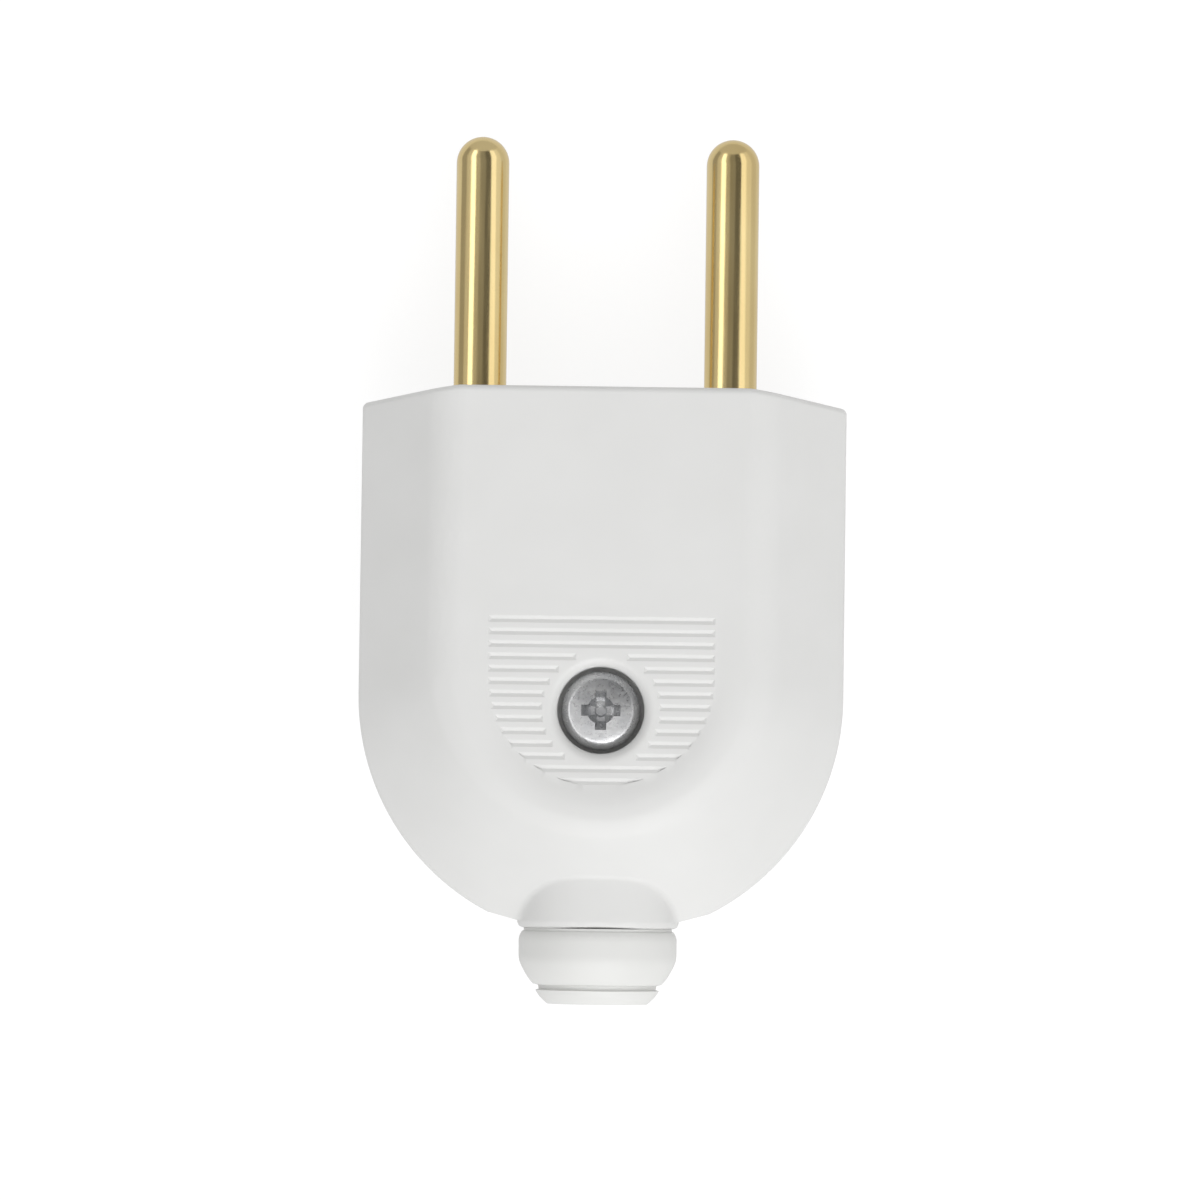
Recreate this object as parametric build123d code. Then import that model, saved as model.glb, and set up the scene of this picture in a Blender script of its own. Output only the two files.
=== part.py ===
from build123d import *
import math
import os

# ---------------------------------------------------------------- driving dimensions, mm
# Local axes: X across the pins, Y along the pins with Y = 0 on the pin face, Z out of the
# front panel with Z = 0 on the parting plane between the two shells.
BODY_HALF_WIDTH = 18.3      # side walls, and the radius of the round end
BODY_ARC_Y = -23.0          # centre of the round end
RIM_HALF_HEIGHT = 1.7       # upright wall each side of the parting plane
BODY_HALF_THICK = 8.4
PANEL_HALF_WIDTH = 12.1     # sharp edge of the flat panel, before rounding
PANEL_ARC_Y = -21.0
PANEL_ROUND = 4.2
RIM_ROUND = 0.9
SEAM_CHAMFER = 0.18

SHOULDER_X = 10.9           # the pin face is flat to here, then falls to the corners
SHOULDER_DROP = 1.0
SHOULDER_ROUND = 6.0
FACE_EDGE_ROUND = 0.5

CAVITY_HALF_WIDTH = 16.4
CAVITY_RIM = 1.2
CAVITY_HALF_THICK = 6.5
CAVITY_PANEL_HALF_WIDTH = 11.2
CAVITY_PANEL_ARC_Y = -21.6
FACE_WALL = 2.4             # wall behind the pin face

PIN_X = 9.5                 # 19 mm between the pin axes
PIN_R = 2.0
PIN_LENGTH = 19.5           # from the pin face to the tip
PIN_WAIST_R = 1.75
PIN_SLEEVE_R = 3.0          # terminal body
PIN_INNER_END = -13.6
PIN_GROOVE_R = 2.2
PIN_GROOVE = (-6.3, -5.0)
WIRE_HOLE_R = 1.35
WIRE_HOLE_DEPTH = 6.2
TERMINAL_Y = -10.6
TERMINAL_FLAT_Z = 2.5
TERMINAL_THREAD_R = 1.25
TERMINAL_HEAD_R = 2.1
TERMINAL_HEAD_H = 1.5

SCREW_Y = -24.15            # case screw axis
COUNTERBORE_R = 3.25
COUNTERBORE_ROUND = 0.8
SEAT_Z = 4.95
SHANK_HOLE_R = 1.65
FRONT_BOSS_R = 4.35
REAR_BOSS_R = 4.35
CASE_HEAD_R = 2.95
CASE_HEAD_TOP = 7.2
CASE_SHANK_R = 1.48
CASE_SHANK_END = -7.4
NUT_FLATS = 5.5
NUT_THICK = 2.3
NUT_POCKET_FLATS = 5.7
NUT_SEAT_Z = -5.6

DISH_TOP_Y = -16.4          # the grip pad leaves the panel here and sinks towards the neck
DISH_DEPTH = 0.3
DISH_END_Y = -30.6
DISH_HALF_WIDTH = 9.3
DISH_WALL_ANGLE = 77.0      # from upright
GRIP_HALF_WIDTH = 8.45
GRIP_ARC_Y = -21.78
GRIP_FIRST_Y = -17.45
GRIP_PITCH = 0.925
GRIP_COUNT = 14
GRIP_WIDTH = 0.52
GRIP_DEPTH = 0.14
GRIP_CLEAR_R = 4.35         # plain ring round the screw hole

NECK_HALF_WIDTH = 6.1       # the neck is a round, a little flattened front and back
NECK_HALF_HEIGHT = 5.55
NECK_SQUARENESS = 2.4       # 2 is an ellipse
NECK_INNER_Y = -37.3
NECK_END_Y = -40.43
NECK_BORE_R = 4.35
NECK_GROOVE_R = 4.95
NECK_GROOVE = (-39.4, -38.2)
NECK_END_ROUND = 0.4
NECK_ROOT_ROUND = 0.8
BODY_TRIM_Y = -39.96        # the round end of the body stops here, where it meets the neck
BODY_TRIM_RISE = 15.0       # from there it runs out to the round at this angle

CORD_BORE_R = 3.1
CORD_INNER_Y = -37.1
CORD_END_Y = -46.15

CLAMP_X = 5.5
CLAMP_Y = -30.5
CLAMP_POST_R = 1.7
CLAMP_POST_TOP = 2.2
CLAMP_BAR = (14.4, 3.4, 1.7)
CLAMP_SCREW_R = 1.0
CLAMP_SCREW_END = -3.6
CLAMP_HEAD_R = 1.6
CLAMP_HEAD_H = 1.0

# The part lies on its rear panel; the origin is under the middle of its outline.
LIE = Pos(0, -(PIN_LENGTH + CORD_END_Y) / 2, BODY_HALF_THICK)


# ---------------------------------------------------------------- helpers
def d_face(half_width, arc_y, top, z):
    """Straight-sided outline with a round end, on a level plane."""
    edges = [
        Line((-half_width, top), (half_width, top)),
        Line((half_width, top), (half_width, arc_y)),
        ThreePointArc((half_width, arc_y), (0, arc_y - half_width), (-half_width, arc_y)),
        Line((-half_width, arc_y), (-half_width, top)),
    ]
    return Pos(0, 0, z) * make_face(edges)


def tapered_half(hw0, yc0, z0, hw1, yc1, z1, top):
    """Upright rim from z = 0 to z0, then a straight taper to the smaller outline at z1."""
    rim = extrude(d_face(hw0, yc0, top, 0), amount=z0)
    taper = loft([d_face(hw0, yc0, top, z0), d_face(hw1, yc1, top, z1)], ruled=True)
    return rim + taper


def along_y(radius, y0, y1, x=0.0, z=0.0):
    """Cylinder on an axis along Y, between y0 and y1."""
    low, high = min(y0, y1), max(y0, y1)
    return Pos(x, (low + high) / 2, z) * Rot(90, 0, 0) * Cylinder(radius, high - low)


def upright(radius, x, y, z0, z1):
    low, high = min(z0, z1), max(z0, z1)
    return Pos(x, y, (low + high) / 2) * Cylinder(radius, high - low)


def block(x0, x1, y0, y1, z0, z1):
    return Pos((x0 + x1) / 2, (y0 + y1) / 2, (z0 + z1) / 2) * Box(x1 - x0, y1 - y0, z1 - z0)


def at_z(edge, z):
    box = edge.bounding_box()
    return abs(box.min.Z - z) < 1e-4 and abs(box.max.Z - z) < 1e-4


def at_y(edge, y):
    box = edge.bounding_box()
    return abs(box.min.Y - y) < 1e-4 and abs(box.max.Y - y) < 1e-4


# ---------------------------------------------------------------- body form shared by both shells
def face_profile():
    """Everything beyond the pin face: flat in the middle, with soft shoulders falling to the corners."""
    fall = math.atan2(SHOULDER_DROP, BODY_HALF_WIDTH - SHOULDER_X)
    t = SHOULDER_ROUND * math.tan(fall / 2)
    flat = SHOULDER_X - t
    soft = (flat + SHOULDER_ROUND * math.sin(fall / 2), SHOULDER_ROUND * (math.cos(fall / 2) - 1))
    start = (SHOULDER_X + t * math.cos(fall), -t * math.sin(fall))
    far = BODY_HALF_WIDTH + 2
    end = (far, -(far - SHOULDER_X) * math.tan(fall))

    def left(point):
        return (-point[0], point[1])

    edges = [
        Line((-flat, 0), (flat, 0)),
        ThreePointArc((flat, 0), soft, start), Line(start, end),
        Line(end, (far, 4)), Line((far, 4), (-far, 4)),
        Line((-far, 4), left(end)), Line(left(end), left(start)),
        ThreePointArc(left(start), left(soft), (-flat, 0)),
    ]
    return make_face(edges)


def outer_half():
    half = tapered_half(
        BODY_HALF_WIDTH, BODY_ARC_Y, RIM_HALF_HEIGHT,
        PANEL_HALF_WIDTH, PANEL_ARC_Y, BODY_HALF_THICK, 1.0,
    )
    half = fillet(
        [e for e in half.edges() if at_z(e, BODY_HALF_THICK) and not at_y(e, 1.0)], PANEL_ROUND
    )
    half = fillet(
        [e for e in half.edges() if at_z(e, RIM_HALF_HEIGHT) and not at_y(e, 1.0)], RIM_ROUND
    )
    half -= extrude(Pos(0, 0, -1) * face_profile(), amount=BODY_HALF_THICK + 2, dir=(0, 0, 1))
    # soft edge round the pin face and down its corners, and a small bevel along the seam
    rim = []
    for e in half.edges():
        box = e.bounding_box()
        smooth = box.size.X < 1e-4 and box.size.Y < 1e-4 and abs(box.min.X) < BODY_HALF_WIDTH - 0.1
        if box.min.Y > -1.5 and box.max.Z > 1e-3 and not smooth:
            rim.append(e)
    half = fillet(rim, FACE_EDGE_ROUND)
    half = chamfer([e for e in half.edges() if at_z(e, 0.0)], SEAM_CHAMFER)
    return half


OUTER = outer_half()
CAVITY = tapered_half(
    CAVITY_HALF_WIDTH, BODY_ARC_Y, CAVITY_RIM,
    CAVITY_PANEL_HALF_WIDTH, CAVITY_PANEL_ARC_Y, CAVITY_HALF_THICK, -FACE_WALL,
)
CAVITY = fillet(
    [e for e in CAVITY.edges() if at_z(e, CAVITY_HALF_THICK) and not at_y(e, -FACE_WALL)], 1.5
)
# Middle of the wall: ribs and bosses stop here, inside the moulded skin.
MID_WALL = tapered_half(
    (BODY_HALF_WIDTH + CAVITY_HALF_WIDTH) / 2, BODY_ARC_Y, (RIM_HALF_HEIGHT + CAVITY_RIM) / 2,
    11.4, -21.4, (BODY_HALF_THICK + CAVITY_HALF_THICK) / 2, -FACE_WALL / 2,
)


def lip(outer_hw, inner_hw, height, top, z_root, neck_gap):
    """Locating lip along the inside of the rim, open at the pin face and at the neck."""
    ring = extrude(d_face(outer_hw, BODY_ARC_Y, top, -height), amount=height + z_root)
    ring -= extrude(
        d_face(inner_hw, BODY_ARC_Y, top + 2, -height - 1), amount=height + z_root + 2
    )
    return ring - block(-neck_gap, neck_gap, -45, -34, -3, 3)


def neck_section(y, inset=0.0):
    """The +Z half of the flattened round section of the neck, at y."""
    count = 15
    outline = []
    for i in range(count):
        c, s = math.cos(math.pi * i / (count - 1)), math.sin(math.pi * i / (count - 1))
        x = (NECK_HALF_WIDTH - inset) * math.copysign(abs(c) ** (2 / NECK_SQUARENESS), c)
        outline.append((round(x, 6), round((NECK_HALF_HEIGHT - inset) * abs(s) ** (2 / NECK_SQUARENESS), 6)))
    flat = Plane(origin=(0, y, 0), x_dir=(-1, 0, 0), z_dir=(0, 1, 0))
    return flat * make_face([Spline(*outline, tangents=[(0, 1), (0, -1)]), Line(outline[-1], outline[0])])


def skin_half():
    """Closed moulded half with its neck, cavity and pin holes, on the +Z side."""
    knee, rise = NECK_HALF_WIDTH - 0.3, 5 * math.tan(math.radians(BODY_TRIM_RISE))
    below = Polyline(
        (-knee - 5, -50), (knee + 5, -50), (knee + 5, BODY_TRIM_Y + rise), (knee, BODY_TRIM_Y),
        (-knee, BODY_TRIM_Y), (-knee - 5, BODY_TRIM_Y + rise), close=True,
    )
    half = OUTER - extrude(Pos(0, 0, -1) * make_face(below), amount=11, dir=(0, 0, 1))
    # the neck, softened at its mouth and along its root on the slope
    k = NECK_END_ROUND
    neck = extrude(neck_section(NECK_END_Y + k), amount=-35.0 - NECK_END_Y - k)
    neck += loft(
        [neck_section(NECK_END_Y + k), neck_section(NECK_END_Y + 0.3 * k, 0.3 * k), neck_section(NECK_END_Y, 0.95 * k)],
        ruled=True,
    )
    half += neck
    root = []
    for e in half.edges():
        box = e.bounding_box()
        if box.min.Y > BODY_TRIM_Y - 1e-3 and BODY_TRIM_Y + 1e-3 < box.max.Y < -35.5 and box.max.Z > 3 and e.length > 2:
            root.append(e)
    half = fillet(root, NECK_ROOT_ROUND)
    half -= CAVITY - extrude(neck_section(NECK_END_Y - 3), amount=NECK_INNER_Y - NECK_END_Y + 3)
    half -= along_y(NECK_BORE_R, NECK_INNER_Y + 2, NECK_END_Y - 2)
    half -= along_y(NECK_GROOVE_R, *NECK_GROOVE)
    for side in (1, -1):
        half -= along_y(PIN_WAIST_R + 0.05, -FACE_WALL - 1, 1, side * PIN_X)
    return half


def pin_rib(y0, y1, notch_r):
    """Cradle rib across both pins, with a half-round notch for each."""
    ribs = None
    for side in (1, -1):
        rib = block(min(side * 5.7, side * 13.4), max(side * 5.7, side * 13.4), y0, y1, 0, 8)
        rib -= along_y(notch_r, y0 - 1, y1 + 1, side * PIN_X)
        ribs = rib if ribs is None else ribs + rib
    return ribs


SKIN = skin_half()

# ---------------------------------------------------------------- front shell
tilt = math.degrees(math.atan2(DISH_DEPTH, DISH_TOP_Y - DISH_END_Y))
pad = Plane(
    origin=(0, DISH_TOP_Y, BODY_HALF_THICK),
    x_dir=(1, 0, 0),
    z_dir=(0, -math.sin(math.radians(tilt)), math.cos(math.radians(tilt))),
)

inside = upright(FRONT_BOSS_R, 0, SCREW_Y, 0.1, 8)
inside += pin_rib(PIN_GROOVE[0] + 0.08, PIN_GROOVE[1] - 0.08, PIN_GROOVE_R + 0.05)
front = SKIN + (inside & MID_WALL)
front += lip(17.2, CAVITY_HALF_WIDTH + 0.05, 0.9, -3.3, 0.3, 7.8)
# the grip pad: a shallow scoop, deepest at its round end
dish = extrude(
    d_face(DISH_HALF_WIDTH, GRIP_ARC_Y, -12.0, BODY_HALF_THICK), amount=-0.5, taper=DISH_WALL_ANGLE
)
dish &= pad * Pos(0, 0, 5) * Box(60, 60, 10)
front -= dish
front -= upright(COUNTERBORE_R, 0, SCREW_Y, SEAT_Z, 12)
front -= upright(SHANK_HOLE_R, 0, SCREW_Y, -1, SEAT_Z + 1)
rim_edges = []
for e in front.edges():
    box = e.bounding_box()
    if box.min.Z > 7.0 and abs(box.center().X) < 0.1 and abs(box.center().Y - SCREW_Y) < 0.1:
        if abs(box.size.X - 2 * COUNTERBORE_R) < 0.05:
            rim_edges.append(e)
front = fillet(rim_edges, COUNTERBORE_ROUND)
# grip grooves, with plain ground round the screw hole
grooves = []
for i in range(GRIP_COUNT):
    y = GRIP_FIRST_Y - i * GRIP_PITCH
    reach = GRIP_HALF_WIDTH
    if y < GRIP_ARC_Y:
        reach = math.sqrt(GRIP_HALF_WIDTH ** 2 - (y - GRIP_ARC_Y) ** 2)
    off = abs(y - SCREW_Y)
    spans = [(-reach, reach)]
    if off < GRIP_CLEAR_R:
        clear = math.sqrt(GRIP_CLEAR_R ** 2 - off ** 2)
        spans = [(-reach, -clear), (clear, reach)]
    for x0, x1 in spans:
        if x1 - x0 < 1.5 * GRIP_WIDTH:
            continue
        v = (y - DISH_TOP_Y) / math.cos(math.radians(tilt))
        mouth = pad * Pos((x0 + x1) / 2, v, 0) * Rectangle(x1 - x0, GRIP_WIDTH)
        cut = extrude(mouth, amount=-GRIP_DEPTH, taper=60)
        grooves.append(cut)
front -= grooves

# ---------------------------------------------------------------- rear shell
rear = mirror(SKIN, about=Plane.XY)
mid_rear = mirror(MID_WALL, about=Plane.XY) + block(-10, 10, -34, -28, -0.5, 3)
inside = upright(REAR_BOSS_R, 0, SCREW_Y, -8, 0)
inside += mirror(
    pin_rib(PIN_GROOVE[0] + 0.08, PIN_GROOVE[1] - 0.08, PIN_GROOVE_R + 0.05)
    + pin_rib(PIN_INNER_END + 0.3, PIN_INNER_END + 1.4, PIN_SLEEVE_R + 0.05),
    about=Plane.XY,
)
for side in (1, -1):
    inside += upright(CLAMP_POST_R, side * CLAMP_X, CLAMP_Y, -8, CLAMP_POST_TOP)
for y in (CLAMP_Y - 1.0, CLAMP_Y + 1.0):
    inside += block(-4.2, 4.2, y - 0.4, y + 0.4, -8, -2.4) - along_y(CORD_BORE_R, y - 1, y + 1)
rear += inside & mid_rear
rear -= lip(17.3, 15.8, 1.0, -3.2, 0.5, 7.6)
for side in (1, -1):
    rear -= upright(CLAMP_SCREW_R + 0.03, side * CLAMP_X, CLAMP_Y, CLAMP_SCREW_END - 0.5, 4)
rear -= upright(SHANK_HOLE_R, 0, SCREW_Y, -9, 1)
pocket = Pos(0, SCREW_Y, -BODY_HALF_THICK - 1) * RegularPolygon(NUT_POCKET_FLATS / math.sqrt(3), 6)
rear -= extrude(pocket, amount=BODY_HALF_THICK + 1 + NUT_SEAT_Z, dir=(0, 0, 1))


# ---------------------------------------------------------------- pins, each turned in one piece with its terminal
def pin(x):
    r, b, g = PIN_R, PIN_SLEEVE_R, PIN_GROOVE_R
    tip = PIN_LENGTH - r
    top = -FACE_WALL - 0.05
    c = 0.3
    edges = [
        ThreePointArc((0, PIN_LENGTH), (r * math.sin(math.pi / 4), tip + r * math.cos(math.pi / 4)), (r, tip)),
        Polyline(
            (r, tip), (r, 0), (PIN_WAIST_R, 0), (PIN_WAIST_R, top), (b - c, top), (b, top - c),
            (b, PIN_GROOVE[1]), (g, PIN_GROOVE[1]), (g, PIN_GROOVE[0]), (b, PIN_GROOVE[0]),
            (b, PIN_INNER_END + c), (b - c, PIN_INNER_END), (0, PIN_INNER_END), (0, PIN_LENGTH),
        ),
    ]
    body = revolve(make_face(edges), axis=Axis.Y)
    body -= along_y(WIRE_HOLE_R, PIN_INNER_END - 1, PIN_INNER_END + WIRE_HOLE_DEPTH)
    mouth = Pos(0, PIN_INNER_END + 0.2, 0) * Rot(90, 0, 0) * Cone(WIRE_HOLE_R, WIRE_HOLE_R + 0.4, 0.4001)
    body -= mouth
    body -= block(-4, 4, PIN_INNER_END - 1, PIN_INNER_END + 6.4, TERMINAL_FLAT_Z, 5)
    body -= upright(TERMINAL_THREAD_R, 0, TERMINAL_Y, 0, 4)
    return Pos(x, 0, 0) * body


left_pin, right_pin = pin(-PIN_X), pin(PIN_X)


# ---------------------------------------------------------------- screws and nut
def turned(points_or_edges):
    """Solid of revolution about Z from a half outline drawn as (radius, height)."""
    flat = make_face(points_or_edges)
    return revolve(Plane.XZ * flat, axis=Axis.Z)


def slotted_screw(head_r, head_h, shank_r, shank_length, slot, turn):
    """Cheese head screw, head underside at Z = 0."""
    c = 0.25
    body = turned(
        Polyline(
            (0, head_h), (head_r - c, head_h), (head_r, head_h - c), (head_r, 0), (shank_r, 0),
            (shank_r, -shank_length + 0.3), (shank_r - 0.3, -shank_length), (0, -shank_length), close=True,
        )
    )
    return Rot(0, 0, turn) * (body - block(-head_r - 1, head_r + 1, -slot / 2, slot / 2, head_h * 0.5, head_h + 1))


terminal_screws = [
    Pos(side * PIN_X, TERMINAL_Y, TERMINAL_FLAT_Z + 0.02)
    * slotted_screw(TERMINAL_HEAD_R, TERMINAL_HEAD_H, TERMINAL_THREAD_R - 0.05, 3.4, 0.6, turn)
    for side, turn in ((-1, 24), (1, -37))
]
clamp_bar_base = CLAMP_POST_TOP + 0.02
clamp_screws = [
    Pos(side * CLAMP_X, CLAMP_Y, clamp_bar_base + CLAMP_BAR[2] + 0.02)
    * slotted_screw(
        CLAMP_HEAD_R, CLAMP_HEAD_H, CLAMP_SCREW_R,
        clamp_bar_base + CLAMP_BAR[2] + 0.02 - CLAMP_SCREW_END, 0.5, turn,
    )
    for side, turn in ((-1, -15), (1, 52))
]

case_screw = turned(
    [
        ThreePointArc((0, CASE_HEAD_TOP), (1.15, CASE_HEAD_TOP - 0.05), (2.3, CASE_HEAD_TOP - 0.2)),
        ThreePointArc((2.3, CASE_HEAD_TOP - 0.2), (2.75, CASE_HEAD_TOP - 0.5), (CASE_HEAD_R, CASE_HEAD_TOP - 1.05)),
        Polyline(
            (CASE_HEAD_R, CASE_HEAD_TOP - 1.05), (CASE_HEAD_R, SEAT_Z + 0.02), (CASE_SHANK_R, SEAT_Z + 0.02),
            (CASE_SHANK_R, CASE_SHANK_END + 0.35), (CASE_SHANK_R - 0.35, CASE_SHANK_END), (0, CASE_SHANK_END),
            (0, CASE_HEAD_TOP),
        ),
    ]
)
for turn in (0, 90):
    arm = loft(
        [
            Pos(0, 0, CASE_HEAD_TOP + 0.1) * Rot(0, 0, turn) * Rectangle(3.1, 0.86),
            Pos(0, 0, CASE_HEAD_TOP - 1.65) * Rot(0, 0, turn) * Rectangle(1.5, 0.6),
        ],
        ruled=True,
    )
    case_screw -= arm
case_screw -= Pos(0, 0, CASE_HEAD_TOP - 1.0) * Cone(0.35, 1.05, 2.0)
case_screw = Pos(0, SCREW_Y, 0) * case_screw

nut_r = NUT_FLATS / math.sqrt(3)
nut_c = nut_r - NUT_FLATS / 2
case_nut = extrude(RegularPolygon(nut_r, 6), amount=-NUT_THICK)
case_nut &= turned(
    Polyline(
        (0, 0), (NUT_FLATS / 2 - 0.05, 0), (nut_r + 0.05, -nut_c * 0.6 - 0.05),
        (nut_r + 0.05, -NUT_THICK + nut_c * 0.6 + 0.05), (NUT_FLATS / 2 - 0.05, -NUT_THICK), (0, -NUT_THICK), close=True,
    )
)
case_nut -= upright(CASE_SHANK_R + 0.04, 0, 0, -4, 1)
case_nut -= Pos(0, 0, -NUT_THICK + 0.1) * Cone(CASE_SHANK_R + 0.34, CASE_SHANK_R + 0.04, 0.3)
case_nut = Pos(0, SCREW_Y, NUT_SEAT_Z - 0.02) * case_nut

# ---------------------------------------------------------------- cord grommet, turned about the cord's axis
gap_y = NECK_END_Y - 0.02
bulb = [
    (5.72, -40.69), (5.93, -41.08), (5.97, -41.85), (5.92, -42.87), (5.59, -43.63), (5.13, -44.36), (4.86, -44.66),
]
ring = [(4.67, -45.12), (4.44, -45.5), (4.05, -45.92), (3.78, CORD_END_Y)]
grommet_edges = [
    Polyline(
        (CORD_BORE_R, CORD_INNER_Y), (4.1, CORD_INNER_Y), (4.3, CORD_INNER_Y - 0.2), (4.3, NECK_GROOVE[1] - 0.05), (NECK_GROOVE_R - 0.05, NECK_GROOVE[1] - 0.05),
        (NECK_GROOVE_R - 0.05, NECK_GROOVE[0] + 0.05), (4.3, NECK_GROOVE[0] + 0.05), (4.3, gap_y), (5.6, gap_y), (5.6, -40.66), bulb[0],
    ),
    Spline(*bulb),
    Polyline(bulb[-1], (4.48, -44.74), (4.42, -45.04), ring[0]),
    Spline(*ring),
    Polyline(ring[-1], (CORD_BORE_R + 0.3, CORD_END_Y), (CORD_BORE_R, CORD_END_Y + 0.3), (CORD_BORE_R, CORD_INNER_Y)),
]
cord_grommet = revolve(make_face(grommet_edges), axis=Axis.Y)

# ---------------------------------------------------------------- cord clamp
cord_clamp = extrude(SlotOverall(CLAMP_BAR[0], CLAMP_BAR[1]), amount=CLAMP_BAR[2])
cord_clamp = chamfer([e for e in cord_clamp.edges() if at_z(e, CLAMP_BAR[2])], 0.35)
cord_clamp -= along_y(4.5, -5, 5, 0, 0.5 - 4.5)
for side in (1, -1):
    cord_clamp -= upright(CLAMP_SCREW_R + 0.2, side * CLAMP_X, 0, -1, CLAMP_BAR[2] + 1)
cord_clamp = Pos(0, CLAMP_Y, clamp_bar_base) * cord_clamp

# ---------------------------------------------------------------- write one file for each node
NODES = {
    "front_shell": [front],
    "rear_shell": [rear],
    "left_pin": [left_pin],
    "right_pin": [right_pin],
    "terminal_screws": terminal_screws,
    "case_screw": [case_screw],
    "case_nut": [case_nut],
    "cord_grommet": [cord_grommet],
    "cord_clamp": [cord_clamp],
    "clamp_screws": clamp_screws,
}

os.makedirs("parts", exist_ok=True)
for name, pieces in NODES.items():
    solids = [solid for piece in pieces for solid in (LIE * piece).solids()]
    shape = solids[0] if len(solids) == 1 else Compound(solids)
    print(name, shape.is_valid, len(solids), round(shape.volume, 2))
    export_step(shape, "parts/" + name + ".step")
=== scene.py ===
import math

import bmesh
import bpy
import numpy as np
from mathutils import Matrix, Vector


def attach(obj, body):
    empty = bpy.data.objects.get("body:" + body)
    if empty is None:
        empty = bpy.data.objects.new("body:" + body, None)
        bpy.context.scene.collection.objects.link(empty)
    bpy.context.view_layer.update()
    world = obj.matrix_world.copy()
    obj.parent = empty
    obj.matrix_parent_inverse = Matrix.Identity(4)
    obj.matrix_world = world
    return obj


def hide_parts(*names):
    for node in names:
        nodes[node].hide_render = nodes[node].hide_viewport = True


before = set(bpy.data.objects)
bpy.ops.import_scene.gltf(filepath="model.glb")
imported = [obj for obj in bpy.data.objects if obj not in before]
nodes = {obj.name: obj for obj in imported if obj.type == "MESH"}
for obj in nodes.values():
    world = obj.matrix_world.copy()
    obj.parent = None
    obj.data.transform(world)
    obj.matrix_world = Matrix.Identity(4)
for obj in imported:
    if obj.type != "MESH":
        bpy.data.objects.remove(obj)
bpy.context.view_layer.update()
scene = bpy.context.scene
scene.view_settings.view_transform = "Standard"
scene.view_settings.look = "None"

MM = 0.001
MID_Z = 8.4 * MM                # parting plane above the floor
SHIFT_Y = 13.325                # the pin face stands this far along +Y of the origin, mm
SCREW_AXIS = Vector((0, (-24.15 + SHIFT_Y) * MM, 0))


# ---------------------------------------------------------------- camera, at the photograph's angle
VIEW_DISTANCE = 470 * MM
FRAME_WIDTH = 1200 / 13.20 * MM  # seen across the picture at the parting plane
TILT = math.radians(2.5)        # from overhead, towards the cord end
ROLL = math.radians(0.77)

target = Vector((-0.17 * MM, -2.28 * MM, MID_Z))
camera_data = bpy.data.cameras.new("camera")
camera_data.sensor_width = 36.0
camera_data.lens = 36.0 * VIEW_DISTANCE / FRAME_WIDTH
camera_data.clip_start = 0.01
camera_data.clip_end = 20.0
camera = bpy.data.objects.new("camera", camera_data)
scene.collection.objects.link(camera)
back = Vector((0, -math.sin(TILT), math.cos(TILT)))
up0 = Vector((0, math.cos(TILT), math.sin(TILT)))
right0 = up0.cross(back)
up = up0 * math.cos(ROLL) - right0 * math.sin(ROLL)
right = right0 * math.cos(ROLL) + up0 * math.sin(ROLL)
turn = Matrix((right, up, back)).transposed().to_4x4()
camera.matrix_world = Matrix.Translation(target + back * VIEW_DISTANCE) @ turn
scene.camera = camera


# ---------------------------------------------------------------- shading normals of the carried-over solids
def smooth_normals(obj, limit=28.0):
    """Corner normals shared across tangent faces, weighted by area, with real edges left sharp."""
    mesh = obj.data
    n_tri, n_loop = len(mesh.polygons), len(mesh.loops)
    co = np.empty(len(mesh.vertices) * 3)
    mesh.vertices.foreach_get("co", co)
    co = co.reshape(-1, 3)
    corner = np.empty(n_loop, np.int64)
    mesh.loops.foreach_get("vertex_index", corner)
    assert n_loop == 3 * n_tri
    tri = corner.reshape(-1, 3)
    _, place = np.unique(np.round(co * 1e7).astype(np.int64), axis=0, return_inverse=True)
    place = place.reshape(-1)
    a, b, c = co[tri[:, 0]], co[tri[:, 1]], co[tri[:, 2]]
    cross = np.cross(b - a, c - a)
    double = np.linalg.norm(cross, axis=1)
    normal = cross / np.maximum(double, 1e-30)[:, None]
    at = place[tri].reshape(-1)
    face = np.repeat(np.arange(n_tri), 3)
    order = np.argsort(at, kind="stable")
    starts = np.searchsorted(at[order], np.arange(at.max() + 2))
    result = np.zeros((n_loop, 3))
    cos_limit = math.cos(math.radians(limit))
    for k in range(len(starts) - 1):
        loops = order[starts[k]:starts[k + 1]]
        if not len(loops):
            continue
        f = face[loops]
        n = normal[f]
        near = (n @ n.T) > cos_limit
        total = near @ (n * double[f][:, None])
        length = np.linalg.norm(total, axis=1)
        good = length > 1e-20
        result[loops] = np.where(good[:, None], total / np.maximum(length, 1e-20)[:, None], n)
    bad = np.linalg.norm(result, axis=1) < 0.5
    result[bad] = (0, 0, 1)
    for p in mesh.polygons:
        p.use_smooth = True
    mesh.normals_split_custom_set([tuple(v) for v in result])


for node in nodes.values():
    smooth_normals(node)


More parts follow.
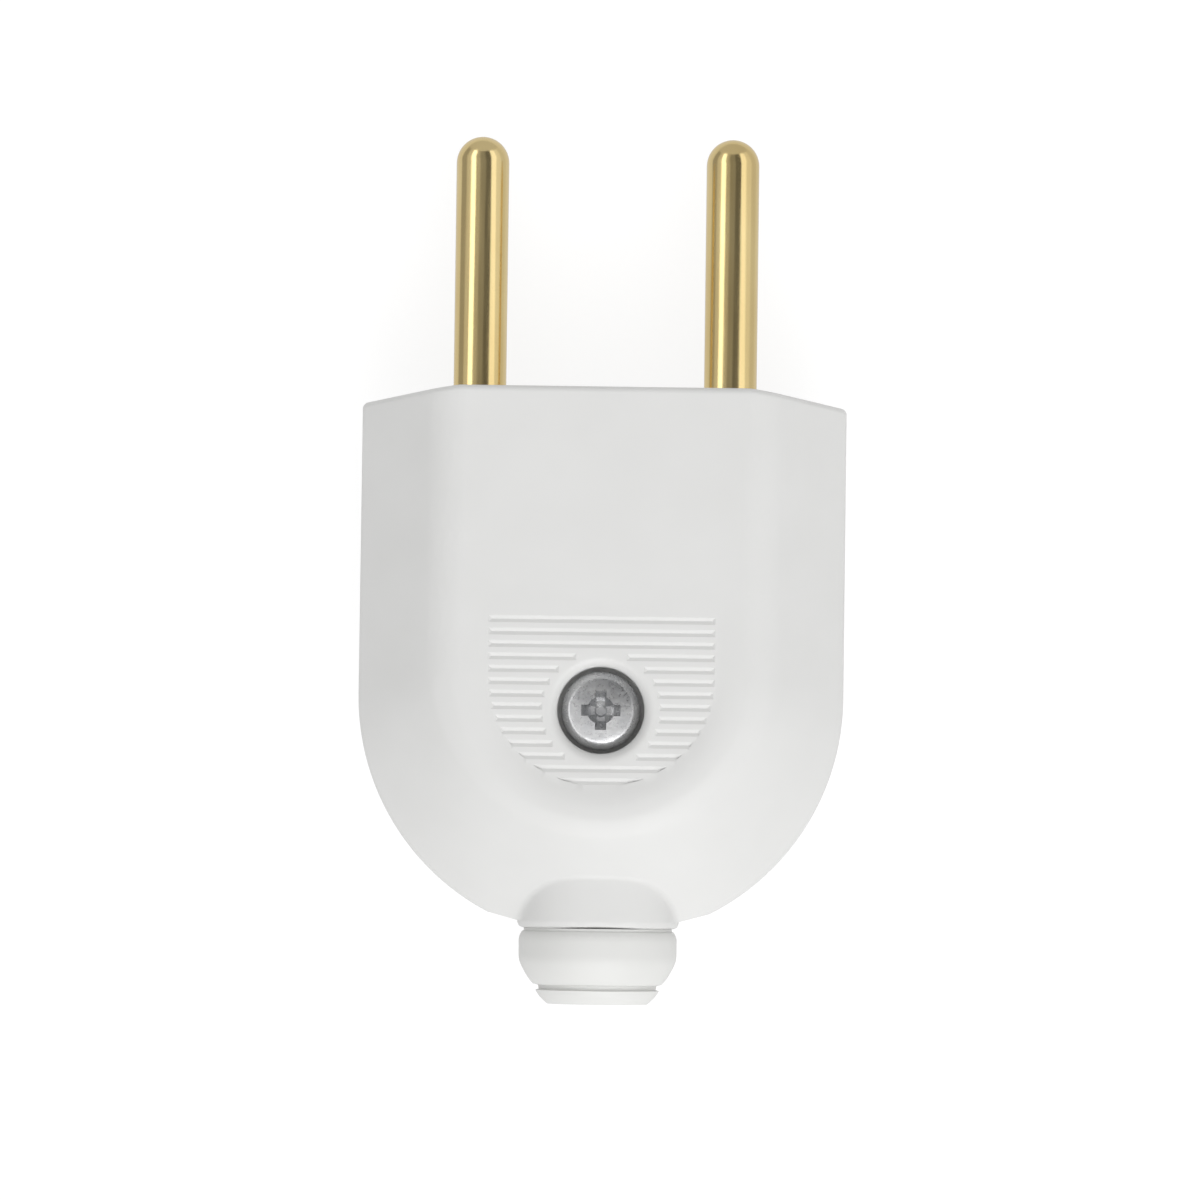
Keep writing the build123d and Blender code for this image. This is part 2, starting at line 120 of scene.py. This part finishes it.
# ---------------------------------------------------------------- material helpers
class Nodes:
    """A procedural material with one Principled shader."""

    def __init__(self, name):
        self.material = bpy.data.materials.new(name)
        self.material.use_nodes = True
        self.tree = self.material.node_tree
        self.tree.nodes.clear()
        self.out = self.add("ShaderNodeOutputMaterial")
        self.shader = self.add("ShaderNodeBsdfPrincipled")
        self.link(self.shader.outputs[0], self.out.inputs[0])
        self.place = self.add("ShaderNodeTexCoord").outputs["Object"]

    def add(self, kind, **props):
        node = self.tree.nodes.new(kind)
        for key, value in props.items():
            setattr(node, key, value)
        return node

    def link(self, a, b):
        self.tree.links.new(a, b)

    def scaled(self, scale, centre=(0, 0, 0), turn=(0, 0, 0)):
        node = self.add("ShaderNodeMapping", vector_type="POINT")
        node.inputs["Location"].default_value = [-c * s for c, s in zip(centre, scale)]
        node.inputs["Rotation"].default_value = turn
        node.inputs["Scale"].default_value = scale
        self.link(self.place, node.inputs["Vector"])
        return node.outputs[0]

    def noise(self, vector, scale=1.0, detail=2.0, rough=0.5):
        node = self.add("ShaderNodeTexNoise")
        node.inputs["Scale"].default_value = scale
        node.inputs["Detail"].default_value = detail
        node.inputs["Roughness"].default_value = rough
        self.link(vector, node.inputs["Vector"])
        return node.outputs[0]

    def ramp(self, value, low, high, out_low, out_high):
        node = self.add("ShaderNodeMapRange")
        for key, number in (("From Min", low), ("From Max", high), ("To Min", out_low), ("To Max", out_high)):
            node.inputs[key].default_value = number
        self.link(value, node.inputs["Value"])
        return node.outputs[0]

    def colours(self, value, stops):
        node = self.add("ShaderNodeValToRGB")
        ramp = node.color_ramp
        while len(ramp.elements) < len(stops):
            ramp.elements.new(0.5)
        for element, (at, colour) in zip(ramp.elements, stops):
            element.position = at
            element.color = (*colour, 1)
        self.link(value, node.inputs[0])
        return node.outputs[0]

    def bump(self, height, distance, strength=1.0, under=None):
        node = self.add("ShaderNodeBump")
        node.inputs["Distance"].default_value = distance
        node.inputs["Strength"].default_value = strength
        self.link(height, node.inputs["Height"])
        if under is not None:
            self.link(under, node.inputs["Normal"])
        return node.outputs[0]

    def set(self, **values):
        for key, value in values.items():
            self.shader.inputs[key.replace("_", " ")].default_value = value

    def give(self, output, name):
        self.link(output, self.shader.inputs[name])


def moulded(name, dark, light, rough, grain):
    """Satin moulded plastic: faint clouding, a fine spark-eroded grain and slow surface waves."""
    m = Nodes(name)
    cloud = m.noise(m.scaled((140, 140, 140)), detail=3.0)
    m.give(m.colours(cloud, [(0.3, dark), (0.7, light)]), "Base Color")
    patch = m.noise(m.scaled((420, 420, 420)), detail=4.0)
    m.give(m.ramp(patch, 0.3, 0.7, rough - 0.05, rough + 0.05), "Roughness")
    waves = m.bump(m.noise(m.scaled((160, 160, 160)), detail=1.0), 12e-6)
    fine = m.noise(m.scaled((7000, 7000, 7000)), detail=2.0)
    m.give(m.bump(fine, grain, under=waves), "Normal")
    m.set(IOR=1.5, Specular_IOR_Level=0.45)
    return m.material


shell_plastic = moulded("shell_plastic", (0.690, 0.690, 0.680), (0.712, 0.712, 0.703), 0.40, 1.0e-6)
grommet_plastic = moulded("grommet_plastic", (0.700, 0.702, 0.686), (0.722, 0.723, 0.708), 0.50, 1.4e-6)
clamp_plastic = moulded("clamp_plastic", (0.62, 0.62, 0.60), (0.66, 0.66, 0.64), 0.55, 2.0e-6)


def brass(name):
    """Turned and polished brass: rings from the lathe, light draw marks along the pin, slight tarnish."""
    m = Nodes(name)
    tarnish = m.noise(m.scaled((220, 90, 220)), detail=4.0)
    m.give(m.colours(tarnish, [(0.3, (0.78, 0.60, 0.28)), (0.7, (0.86, 0.69, 0.35))]), "Base Color")
    rings = m.noise(m.scaled((120, 16000, 120)), detail=3.0)
    drawn = m.noise(m.scaled((5200, 130, 5200)), detail=3.0)
    m.give(m.ramp(drawn, 0.35, 0.7, 0.13, 0.22), "Roughness")
    first = m.bump(rings, 0.5e-6)
    m.give(m.bump(drawn, 0.8e-6, under=first), "Normal")
    m.set(Metallic=1.0)
    return m.material


pin_brass = brass("pin_brass")


def plated(name, centre):
    """Zinc-plated steel: rings round the screw's axis, a fine crystalline plate and faint clouding."""
    m = Nodes(name)
    cloud = m.noise(m.scaled((700, 700, 700)), detail=4.0, rough=0.6)
    m.give(m.colours(cloud, [(0.3, (0.56, 0.565, 0.58)), (0.7, (0.70, 0.70, 0.70))]), "Base Color")
    away = m.add("ShaderNodeVectorMath", operation="SUBTRACT")
    away.inputs[1].default_value = centre
    m.link(m.place, away.inputs[0])
    flat = m.add("ShaderNodeVectorMath", operation="MULTIPLY")
    flat.inputs[1].default_value = (1, 1, 0)
    m.link(away.outputs[0], flat.inputs[0])
    radius = m.add("ShaderNodeVectorMath", operation="LENGTH")
    m.link(flat.outputs[0], radius.inputs[0])
    line = m.add("ShaderNodeCombineXYZ")
    m.link(radius.outputs["Value"], line.inputs["X"])
    rings = m.noise(line.outputs[0], scale=9000.0, detail=2.0)
    grain = m.noise(m.scaled((5200, 5200, 5200)), detail=3.0)
    m.give(m.ramp(grain, 0.3, 0.7, 0.24, 0.40), "Roughness")
    first = m.bump(rings, 1.5e-6)
    dents = m.bump(m.noise(m.scaled((1500, 1500, 1500)), detail=2.0), 28e-6, under=first)
    m.give(m.bump(grain, 3.0e-6, under=dents), "Normal")
    m.set(Metallic=1.0)
    return m.material


screw_steel = plated("screw_steel", tuple(SCREW_AXIS))


# ---------------------------------------------------------------- finish of every piece
FINISH = {
    "front_shell": shell_plastic, "rear_shell": shell_plastic,
    "left_pin": pin_brass, "right_pin": pin_brass,
    "terminal_screws": screw_steel, "case_screw": screw_steel, "case_nut": screw_steel, "clamp_screws": screw_steel,
    "cord_grommet": grommet_plastic, "cord_clamp": clamp_plastic,
}
for name, node in nodes.items():
    node.data.materials.clear()
    node.data.materials.append(FINISH[name])


# ---------------------------------------------------------------- screw threads, cut into copies of the plain shanks
def winding(name, axis, root, crest, low, high, pitch):
    """A closed V-section coil about an upright axis: its point runs at radius root and its back at radius crest. Lengths in mm."""
    steps = 28
    count = int((high - low) / pitch * steps)
    half = 0.46 * pitch
    verts, faces = [], []
    for i in range(count + 1):
        turn_angle = 2 * math.pi * i / steps
        z = low + pitch * i / steps
        for r, dz in ((root, 0.0), (crest, half), (crest, -half)):
            verts.append((
                (axis[0] + r * math.cos(turn_angle)) * MM,
                (axis[1] + SHIFT_Y + r * math.sin(turn_angle)) * MM,
                (z + dz) * MM + MID_Z,
            ))
    for i in range(count):
        a, b = 3 * i, 3 * i + 3
        for j in range(3):
            k = (j + 1) % 3
            faces.append((a + j, a + k, b + k, b + j))
    faces += [(0, 2, 1), (3 * count, 3 * count + 1, 3 * count + 2)]
    mesh = bpy.data.meshes.new(name)
    mesh.from_pydata(verts, [], faces)
    work = bmesh.new()
    work.from_mesh(mesh)
    bmesh.ops.recalc_face_normals(work, faces=work.faces)
    work.to_mesh(mesh)
    work.free()
    obj = bpy.data.objects.new(name, mesh)
    scene.collection.objects.link(obj)
    return obj


def threaded(name, coils):
    """A copy of a node with these coils cut out of it, which stands for the node."""
    source = nodes[name]
    work = bmesh.new()
    work.from_mesh(source.data)
    bmesh.ops.remove_doubles(work, verts=work.verts, dist=1e-9)
    mesh = bpy.data.meshes.new(name + "_threaded")
    work.to_mesh(mesh)
    work.free()
    piece = bpy.data.objects.new(name + "_threaded", mesh)
    scene.collection.objects.link(piece)
    for coil in coils:
        cut = piece.modifiers.new("thread", "BOOLEAN")
        cut.operation, cut.solver, cut.object = "DIFFERENCE", "EXACT", coil
    bpy.context.view_layer.update()
    result = bpy.data.meshes.new_from_object(piece.evaluated_get(bpy.context.evaluated_depsgraph_get()))
    piece.modifiers.clear()
    for coil in coils:
        bpy.data.objects.remove(coil)
    work = bmesh.new()
    work.from_mesh(result)
    bmesh.ops.triangulate(work, faces=work.faces)
    bmesh.ops.dissolve_degenerate(work, edges=work.edges, dist=1e-8)
    bmesh.ops.triangulate(work, faces=work.faces)
    work.to_mesh(result)
    work.free()
    result.name = name + "_threaded"
    piece.data = result
    smooth_normals(piece, limit=24.0)
    result.materials.clear()
    result.materials.append(FINISH[name])
    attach(piece, "root")
    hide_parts(name)
    return piece


case_screw = threaded("case_screw", [winding("coil_a", (0, -24.15), 1.22, 1.66, -7.8, 4.2, 0.5)])
threaded("case_nut", [winding("coil_b", (0, -24.15), 1.74, 1.38, -8.4, -5.2, 0.5)])
threaded("terminal_screws", [winding("coil_" + k, (x, -10.6), 0.98, 1.36, -1.2, 2.2, 0.45) for k, x in (("c", -9.5), ("d", 9.5))])
threaded("clamp_screws", [winding("coil_" + k, (x, -30.5), 0.74, 1.2, -4.0, 1.9, 0.7) for k, x in (("e", -5.5), ("f", 5.5))])


# ---------------------------------------------------------------- floor and studio light
def plain(name, colour, emission=0.0):
    m = Nodes(name)
    speck = m.noise(m.scaled((9, 9, 9)), detail=2.0)
    m.give(m.colours(speck, [(0.3, [c * 0.995 for c in colour]), (0.7, colour)]), "Base Color")
    m.set(Roughness=1.0, Specular_IOR_Level=0.0)
    if emission:
        m.set(Emission_Color=(1, 1, 1, 1), Emission_Strength=emission)
    return m.material


def sheet(name, corners, material):
    mesh = bpy.data.meshes.new(name)
    mesh.from_pydata(corners, [], [tuple(range(len(corners)))])
    mesh.materials.append(material)
    obj = bpy.data.objects.new(name, mesh)
    scene.collection.objects.link(obj)
    return obj


floor = sheet(
    "floor", [(-6, -6, -2e-5), (6, -6, -2e-5), (6, 6, -2e-5), (-6, 6, -2e-5)], plain("floor_white", (0.28, 0.28, 0.28), 0.77)
)
floor.visible_glossy = False    # what shines picks up the panels and flags below instead


def only_for_camera(obj):
    obj.visible_diffuse = obj.visible_glossy = obj.visible_transmission = False
    obj.visible_volume_scatter = obj.visible_shadow = False


# a pale round backdrop far behind, for low viewing angles
SIDES, FAR, HIGH = 64, 2.4, 3.0
ring = [(FAR * math.cos(2 * math.pi * i / SIDES), FAR * math.sin(2 * math.pi * i / SIDES)) for i in range(SIDES)]
mesh = bpy.data.meshes.new("backdrop")
mesh.from_pydata(
    [(x, y, z) for z in (-0.5, HIGH) for x, y in ring], [],
    [(i, (i + 1) % SIDES, SIDES + (i + 1) % SIDES, SIDES + i) for i in range(SIDES)] + [tuple(range(SIDES, 2 * SIDES))],
)
backdrop = bpy.data.objects.new("backdrop", mesh)
mesh.materials.append(plain("backdrop_pale", (0.0, 0.0, 0.0), 1.02))
scene.collection.objects.link(backdrop)
only_for_camera(backdrop)

# a large overhead tent with a soft key, high at the cord end and a little to the right
KEY = Vector((0.144, -0.679, 0.719)).normalized()
world = bpy.data.worlds.new("studio")
scene.world = world
world.use_nodes = True
tree = world.node_tree
tree.nodes.clear()


def sky_node(kind, **props):
    node = tree.nodes.new(kind)
    for key, value in props.items():
        setattr(node, key, value)
    return node


def sky_math(operation, a, b, c=None):
    node = sky_node("ShaderNodeMath", operation=operation)
    for socket, value in zip(node.inputs, (a, b, c)):
        if value is None:
            continue
        if isinstance(value, (int, float)):
            socket.default_value = value
        else:
            tree.links.new(value, socket)
    return node.outputs[0]


direction = sky_node("ShaderNodeTexCoord").outputs["Generated"]
parts = sky_node("ShaderNodeSeparateXYZ")
tree.links.new(direction, parts.inputs[0])
dx, dy, dz = parts.outputs
over = sky_math("MAXIMUM", dz, 0.0)
tent = sky_math("MULTIPLY_ADD", sky_math("MULTIPLY", over, over), 0.62, 0.470)
tent = sky_math("MULTIPLY_ADD", dx, 0.105, tent)
tent = sky_math("MULTIPLY_ADD", dy, 0.03, tent)
toward = sky_node("ShaderNodeVectorMath", operation="DOT_PRODUCT")
tree.links.new(direction, toward.inputs[0])
toward.inputs[1].default_value = KEY
lobe = sky_math("POWER", sky_math("MAXIMUM", toward.outputs["Value"], 0.0), 12.0)
tent = sky_math("MULTIPLY_ADD", lobe, 3.05, tent)
is_below = sky_math("LESS_THAN", dz, 0.0)
level = sky_math("ADD", sky_math("MULTIPLY", is_below, 0.72), sky_math("MULTIPLY", sky_math("SUBTRACT", 1.0, is_below), tent))
sky = sky_node("ShaderNodeBackground")
sky.inputs["Color"].default_value = (1.0, 1.0, 1.0, 1)
tree.links.new(level, sky.inputs["Strength"])
tree.links.new(sky.outputs[0], sky_node("ShaderNodeOutputWorld").inputs[0])


# ---------------------------------------------------------------- reflected panels: softboxes and dark flags round the plug
def glow(name, strength, tint=(1, 1, 1)):
    material = bpy.data.materials.new(name)
    material.use_nodes = True
    t = material.node_tree
    t.nodes.clear()
    o = t.nodes.new("ShaderNodeOutputMaterial")
    e = t.nodes.new("ShaderNodeEmission")
    e.inputs["Color"].default_value = (*tint, 1)
    e.inputs["Strength"].default_value = strength
    t.links.new(e.outputs[0], o.inputs[0])
    return material


def panel(name, low, high, strength, y0=-0.4, y1=0.4, radius=0.32, tint=(1, 1, 1)):
    """A strip of a half pipe about the pins' direction, seen only in reflections. Angles are from overhead, right positive."""
    steps = 6
    rows = []
    for i in range(steps + 1):
        angle = math.radians(low + (high - low) * i / steps)
        rows.append((radius * math.sin(angle), radius * math.cos(angle) + MID_Z))
    points = [(x, y, z) for x, z in rows for y in (y0, y1)]
    faces = [(2 * i, 2 * i + 1, 2 * i + 3, 2 * i + 2) for i in range(steps)]
    return hang(name, points, faces, strength, tint)


def hang(name, points, faces, strength, tint=(1, 1, 1)):
    mesh = bpy.data.meshes.new(name)
    mesh.from_pydata(points, [], faces)
    mesh.materials.append(glow(name, strength, tint))
    obj = bpy.data.objects.new(name, mesh)
    scene.collection.objects.link(obj)
    obj.visible_camera = obj.visible_diffuse = obj.visible_transmission = False
    obj.visible_volume_scatter = obj.visible_shadow = False
    obj.light_linking.receiver_collection = polished
    return obj


polished = bpy.data.collections.new("polished")     # the pieces that mirror the panels
for mirror in (nodes["left_pin"], nodes["right_pin"], case_screw):
    polished.objects.link(mirror)

panel("flag_left", -106, -76, 0.36)
panel("fill_left", -76, -54, 0.60)
panel("softbox_left", -54, -33, 1.9)
panel("flag_gap", -33, -14, 0.44, y0=0.0)
panel("flag_over", -14, 10, 0.25, y0=0.0)
panel("flag_right", 10, 37, 0.12, y0=0.0)
panel("screen_over", -33, 37, 0.72, y0=-0.16, y1=0.0)
panel("softbox_right", 37, 63, 1.2)
panel("fill_right", 63, 88, 0.80)
panel("fill_low", 88, 118, 0.64)
hang("fill_back", [(x, 0.45, z) for z in (-0.15, 0.34) for x in (-0.4, 0.4)], [(0, 1, 3, 2)], 0.55)
